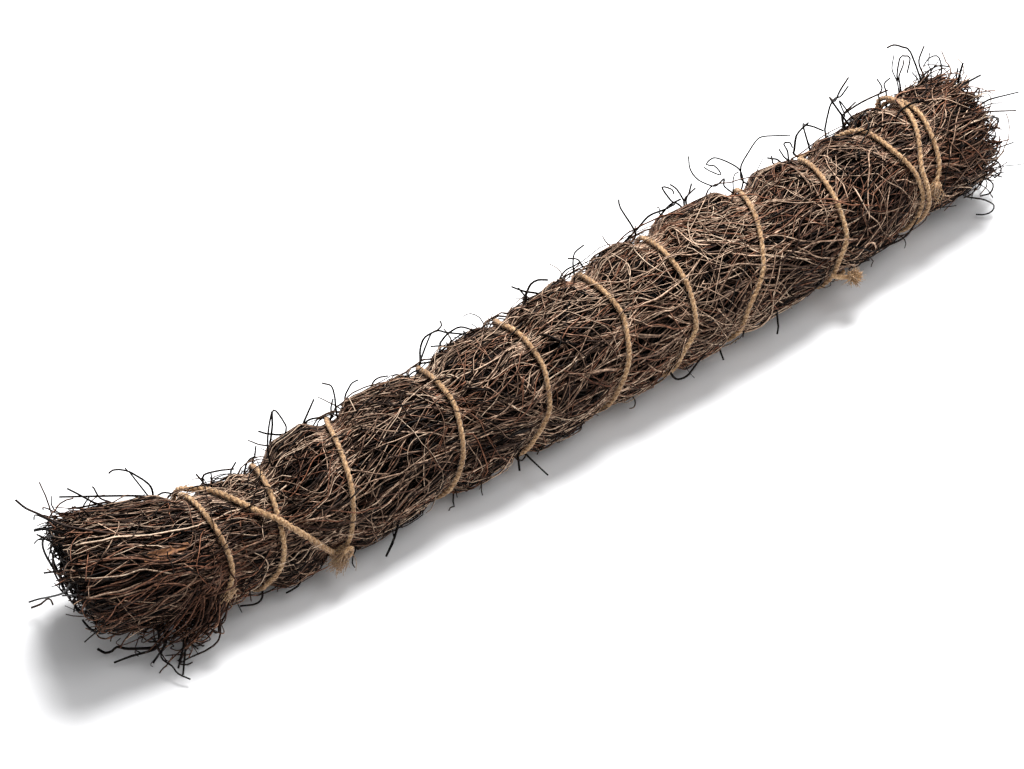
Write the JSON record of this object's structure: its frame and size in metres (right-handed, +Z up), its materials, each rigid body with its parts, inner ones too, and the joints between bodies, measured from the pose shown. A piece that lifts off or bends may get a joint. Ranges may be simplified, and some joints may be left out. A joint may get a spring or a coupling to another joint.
{
  "type": "bundle of twigs",
  "caption": "Long bundle of thin wiry twigs, wound from end to end with jute twine that is knotted near both ends; it lies on its side as decor or kindling.",
  "frame": {"origin": "under the middle of the bundle's box, on the surface that it lies on", "axes": "+X along the bundle towards its far, frizzy end, -Y towards the picture's camera, +Z up"},
  "size_m": [0.4913, 0.0763, 0.0741],
  "materials": {
    "dark_bark": "dark brown to near black smooth bark with grey-tan highlights",
    "brown_bark": "reddish brown smooth bark",
    "jute": "light golden tan two-ply jute, slightly fuzzy",
    "inner_bark": "orange-brown flake of inner bark"
  },
  "bodies": {
    "root": {"bark_flake": "inner_bark", "packed_twigs": "dark_bark", "twig_01": "brown_bark", "twig_02": "brown_bark", "twig_03": "brown_bark", "twig_04": "brown_bark", "twig_05": "brown_bark", "twig_06": "brown_bark", "twig_07": "brown_bark", "twig_08": "brown_bark", "twig_09": "brown_bark", "twig_10": "brown_bark", "twig_11": "brown_bark", "twig_12": "brown_bark", "twig_13": "brown_bark", "twig_14": "brown_bark", "twig_15": "brown_bark", "twig_16": "brown_bark", "twig_17": "brown_bark", "twig_18": "brown_bark", "twig_19": "brown_bark", "twig_20": "brown_bark", "twig_21": "brown_bark", "twig_22": "brown_bark", "twig_23": "brown_bark", "twig_24": "brown_bark", "twig_25": "brown_bark", "twig_26": "brown_bark", "twig_27": "brown_bark", "twig_28": "brown_bark", "twig_29": "brown_bark", "twig_30": "brown_bark", "twig_31": "brown_bark", "twig_32": "brown_bark", "twig_33": "brown_bark", "twig_34": "brown_bark", "twig_35": "brown_bark", "twig_36": "brown_bark", "twig_37": "brown_bark", "twig_38": "brown_bark", "twig_39": "brown_bark", "twig_40": "brown_bark", "twig_41": "brown_bark", "twig_42": "brown_bark", "twig_43": "brown_bark", "twig_44": "brown_bark", "twig_45": "brown_bark", "twig_46": "brown_bark", "twig_47": "brown_bark", "twig_48": "brown_bark", "twine": "jute"}
  },
  "joints": []
}
